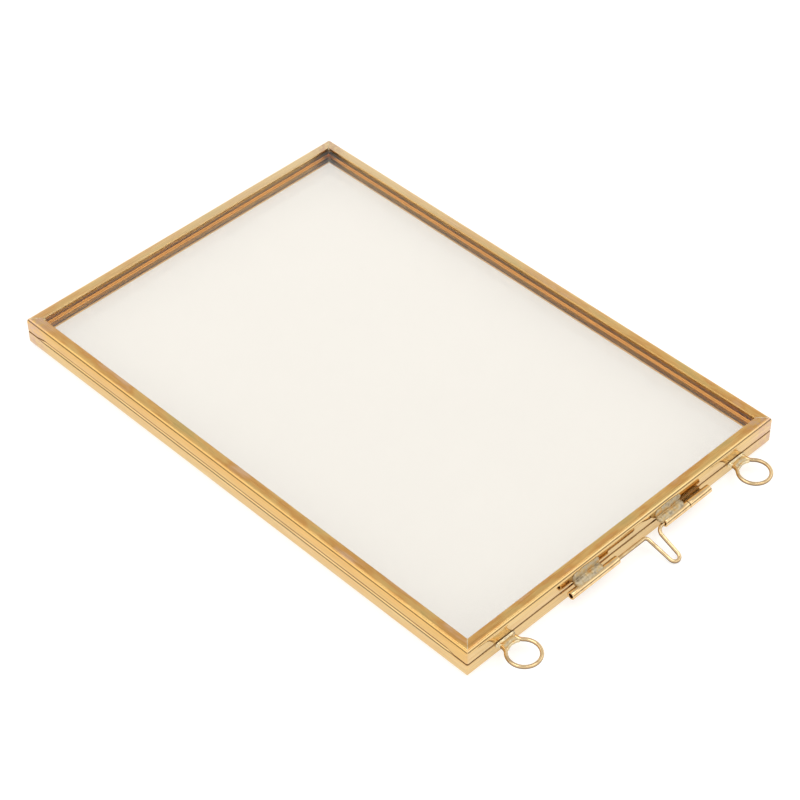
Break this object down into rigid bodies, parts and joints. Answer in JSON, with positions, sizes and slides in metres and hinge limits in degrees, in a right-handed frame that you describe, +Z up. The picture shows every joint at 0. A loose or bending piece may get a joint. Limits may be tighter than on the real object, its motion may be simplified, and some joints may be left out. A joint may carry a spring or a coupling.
{
  "type": "floating frame",
  "caption": "Hinged brass frame of two mitred channel halves with clear panes, closed by a sliding wire latch and hung from two wire rings.",
  "frame": {"origin": "on the surface that the closed frame lies on, under the middle of its overall box, latch loop and hinge included", "axes": "+Z up out of the front pane, +Y from the latch side to the hinge side along the long rails, +X to the right seen from the latch side"},
  "size_m": [0.105, 0.169, 0.0084],
  "materials": {
    "brass_channel": "folded sheet, satin faces and polished sides, lightly tarnished",
    "brass_tube": "drawn tube, polished",
    "brass_wire": "drawn wire, polished",
    "solder": "tin solder, dull and uneven",
    "clear_glass": "clear float glass"
  },
  "bodies": {
    "back_frame": {"back_rail_left": "brass_channel", "back_rail_right": "brass_channel", "back_rail_latch_side": "brass_channel", "back_rail_hinge_side": "brass_channel", "back_glass_pane": "clear_glass", "hanging_ring_left": "brass_wire", "hanging_ring_right": "brass_wire", "solder_ring_left": "solder", "solder_ring_right": "solder", "latch_keeper_tube": "brass_tube", "solder_keeper": "solder", "hinge_knuckle_back": "brass_tube", "solder_knuckle_back": "solder", "hinge_pin": "brass_wire"},
    "front_frame": {"front_rail_left": "brass_channel", "front_rail_right": "brass_channel", "front_rail_latch_side": "brass_channel", "front_rail_hinge_side": "brass_channel", "front_glass_pane": "clear_glass", "latch_guide_tube_long": "brass_tube", "latch_guide_tube_short": "brass_tube", "solder_guide_long": "solder", "solder_guide_short": "solder", "hinge_knuckle_front_left": "brass_tube", "hinge_knuckle_front_right": "brass_tube", "solder_knuckle_front_left": "solder", "solder_knuckle_front_right": "solder"},
    "latch": {"latch_wire": "brass_wire"}
  },
  "joints": [
    {"name": "hinge", "type": "hinge", "parent": "back_frame", "child": "front_frame", "pos_m": [0, 0.08341, 0.0042], "axis": [-1, 0, 0], "range_deg": [0, 180]},
    {"name": "latch_slide", "type": "slide", "parent": "front_frame", "child": "latch", "axis": [-1, 0, 0], "range_m": [0, 0.007]}
  ]
}
